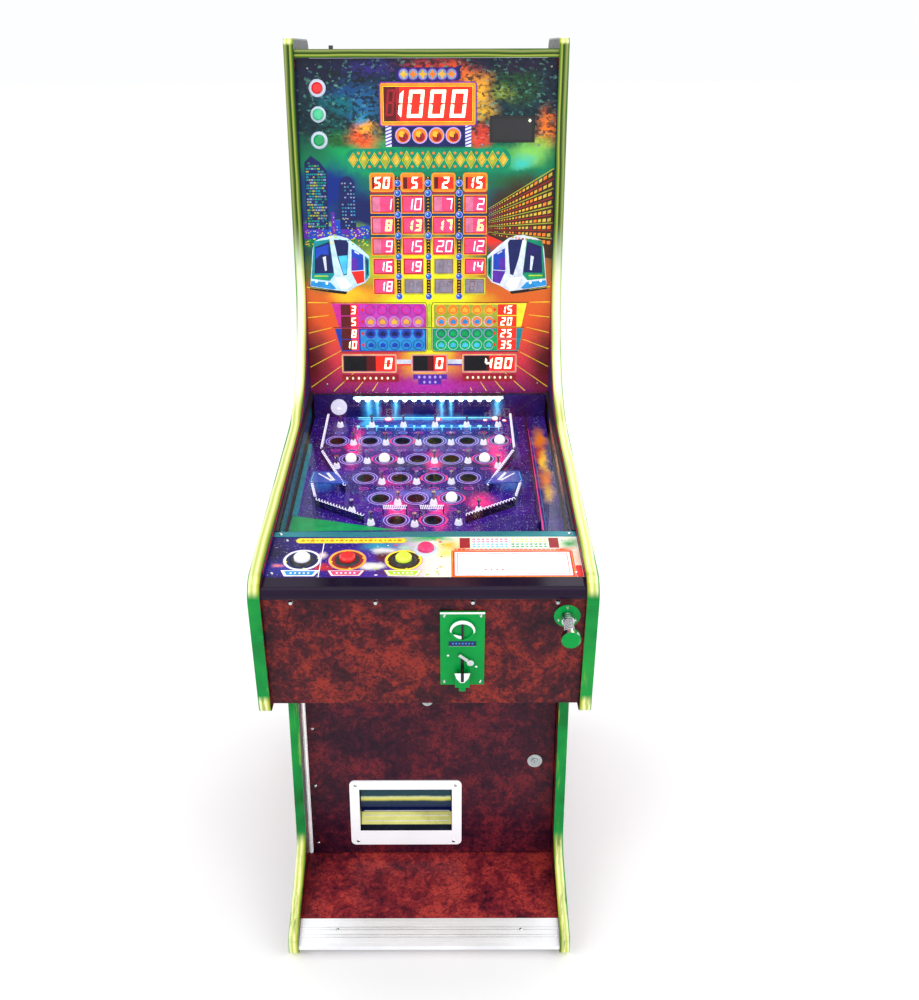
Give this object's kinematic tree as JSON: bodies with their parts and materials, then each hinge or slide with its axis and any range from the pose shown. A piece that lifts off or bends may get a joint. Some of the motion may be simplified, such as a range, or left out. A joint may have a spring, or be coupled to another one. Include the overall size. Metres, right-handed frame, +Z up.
{
  "type": "coin-operated pinball bingo cabinet",
  "caption": "Upright coin-operated ball game: sloped playfield with rows of catch holes under glass, spring plunger, push buttons, lit display head, hinged payout door and rear door.",
  "frame": {"origin": "on the floor, at the centre of the footprint", "axes": "+X to the player's right, +Y from the player to the back, +Z up"},
  "size_m": [0.51, 0.9964, 1.555],
  "materials": {
    "burl_laminate": "gloss",
    "edge_moulding": "polished",
    "raw_board": "matt",
    "black_laminate": "satin",
    "black_gloss": "gloss",
    "deck_print": "gloss",
    "stop_bar_teal": "satin",
    "field_print": "gloss",
    "clear_glass": "polished",
    "head_print": "gloss",
    "black_plastic": "matt",
    "white_plastic": "gloss",
    "grey_plastic": "matt",
    "cap_white": "gloss",
    "cap_red": "gloss",
    "cap_yellow": "gloss",
    "cap_pink": "gloss",
    "cap_green": "gloss",
    "bright_chrome": "polished",
    "brushed_aluminium": "brushed",
    "zinc_steel": "satin",
    "cup_white": "gloss",
    "spring_steel": "polished",
    "ball_white": "gloss",
    "blue_tint": "gloss",
    "circuit_green": "satin",
    "led_cyan": "gloss",
    "nylon": "matt",
    "hardboard_dark": "matt",
    "brass_solenoid": "satin"
  },
  "bodies": {
    "cabinet": {"side_panel_left": "burl_laminate", "side_panel_right": "burl_laminate", "edge_trim_left": "edge_moulding", "edge_trim_right": "edge_moulding", "top_board": "black_laminate", "top_edge_trim": "edge_moulding", "inner_frame": "raw_board", "kick_board": "burl_laminate", "kick_plate": "brushed_aluminium", "rear_lower_panel": "hardboard_dark", "power_inlet": "black_plastic", "hinge_fixed_leaves": "zinc_steel", "foot_glides": "nylon", "apron": "burl_laminate", "arm_rest": "black_gloss", "control_panel": "deck_print", "glass_stop_bar": "stop_bar_teal", "playfield_board": "field_print", "playfield_glass": "clear_glass", "glass_channels": "black_plastic", "post_collars": "white_plastic", "ball_rails": "bright_chrome", "corner_plastics": "blue_tint", "balls": "ball_white", "ball_trough": "brass_solenoid", "led_strip": "led_cyan", "coin_faceplate": "bright_chrome", "coin_acceptor": "black_plastic", "plunger_housing": "bright_chrome", "backglass": "head_print", "meter_window": "black_plastic", "circuit_boards": "circuit_green", "coin_hopper": "grey_plastic", "power_supply": "zinc_steel", "screws": "bright_chrome", "button_housings": "black_plastic", "plunger_spring": "spring_steel"},
    "front_door": {"front_door": "burl_laminate", "door_hinge_leaf": "zinc_steel", "payout_cup": "cup_white", "door_lock_barrels": "bright_chrome", "door_screws": "zinc_steel"},
    "door_lock": {"door_lock_plug": "bright_chrome"},
    "top_lock": {"top_lock_plug": "bright_chrome"},
    "flap": {"payout_flap": "zinc_steel"},
    "rear_door": {"rear_door": "hardboard_dark", "rear_hinge_leaf": "zinc_steel", "rear_lock_barrel": "bright_chrome"},
    "rear_lock": {"rear_lock_plug": "bright_chrome"},
    "plunger": {"plunger_rod": "bright_chrome", "plunger_cushion_spring": "spring_steel"},
    "return_lever": {"coin_return_lever": "bright_chrome"},
    "white_button": {"button_white": "cap_white"},
    "red_button": {"button_red": "cap_red"},
    "yellow_button": {"button_yellow": "cap_yellow"},
    "pink_button": {"button_pink": "cap_pink"},
    "red_header_button": {"header_button_red": "cap_red"},
    "green_header_button": {"header_button_green": "cap_green"},
    "shutter": {"shutter_board": "black_plastic"},
    "lifter": {"ball_lifter": "brass_solenoid"}
  },
  "joints": [
    {"name": "front_door_swing", "type": "hinge", "parent": "cabinet", "child": "front_door", "pos_m": [-0.2335, -0.108, 0.255], "axis": [0, 0, -1], "range_deg": [0, 90]},
    {"name": "door_lock_turn", "type": "hinge", "parent": "front_door", "child": "door_lock", "pos_m": [0.1995, -0.106, 0.285], "axis": [0, -1, 0], "range_deg": [0, 90]},
    {"name": "top_lock_turn", "type": "hinge", "parent": "front_door", "child": "top_lock", "pos_m": [-0.003, -0.106, 0.417], "axis": [0, -1, 0], "range_deg": [0, 90]},
    {"name": "payout_flap_swing", "type": "hinge", "parent": "front_door", "child": "flap", "pos_m": [-0.0465, -0.096, 0.2155], "axis": [1, 0, 0], "range_deg": [0, 75]},
    {"name": "rear_door_swing", "type": "hinge", "parent": "cabinet", "child": "rear_door", "pos_m": [-0.2335, 0.499, 1.06], "axis": [0, 0, 1], "range_deg": [0, 110]},
    {"name": "rear_lock_turn", "type": "hinge", "parent": "rear_door", "child": "rear_lock", "pos_m": [0.205, 0.497, 1.06], "axis": [0, -1, 0], "range_deg": [0, 90]},
    {"name": "plunger_pull", "type": "slide", "parent": "cabinet", "child": "plunger", "axis": [0, -0.9907, -0.1357], "range_m": [0, 0.045], "stiffness_N_per_m": 250, "springref_m": -0.01, "deforming": ["plunger_spring"]},
    {"name": "coin_return_lever_turn", "type": "hinge", "parent": "cabinet", "child": "return_lever", "pos_m": [0.069, -0.42129, 0.68399], "axis": [0, -0.9907, -0.1357], "range_deg": [0, 30], "stiffness_Nm_per_rad": 0.15, "springref_deg": -17.19},
    {"name": "white_button_press", "type": "slide", "parent": "cabinet", "child": "white_button", "axis": [0, 0.1357, -0.9907], "range_m": [0, 0.004], "stiffness_N_per_m": 120, "springref_m": -0.004},
    {"name": "red_button_press", "type": "slide", "parent": "cabinet", "child": "red_button", "axis": [0, 0.1357, -0.9907], "range_m": [0, 0.004], "stiffness_N_per_m": 120, "springref_m": -0.004},
    {"name": "yellow_button_press", "type": "slide", "parent": "cabinet", "child": "yellow_button", "axis": [0, 0.1357, -0.9907], "range_m": [0, 0.004], "stiffness_N_per_m": 120, "springref_m": -0.004},
    {"name": "pink_button_press", "type": "slide", "parent": "cabinet", "child": "pink_button", "axis": [0, 0.1357, -0.9907], "range_m": [0, 0.004], "stiffness_N_per_m": 120, "springref_m": -0.004},
    {"name": "red_header_button_press", "type": "slide", "parent": "cabinet", "child": "red_header_button", "axis": [0, 0.9997, -0.0262], "range_m": [0, 0.004], "stiffness_N_per_m": 120, "springref_m": -0.004},
    {"name": "green_header_button_press", "type": "slide", "parent": "cabinet", "child": "green_header_button", "axis": [0, 0.9997, -0.0262], "range_m": [0, 0.004], "stiffness_N_per_m": 120, "springref_m": -0.004},
    {"name": "shutter_slide", "type": "slide", "parent": "cabinet", "child": "shutter", "axis": [1, 0, 0], "range_m": [0, 0.03], "stiffness_N_per_m": 40, "springref_m": -0.01},
    {"name": "ball_lifter_lift", "type": "slide", "parent": "cabinet", "child": "lifter", "axis": [0, -0.1357, 0.9907], "range_m": [0, 0.06]}
  ]
}
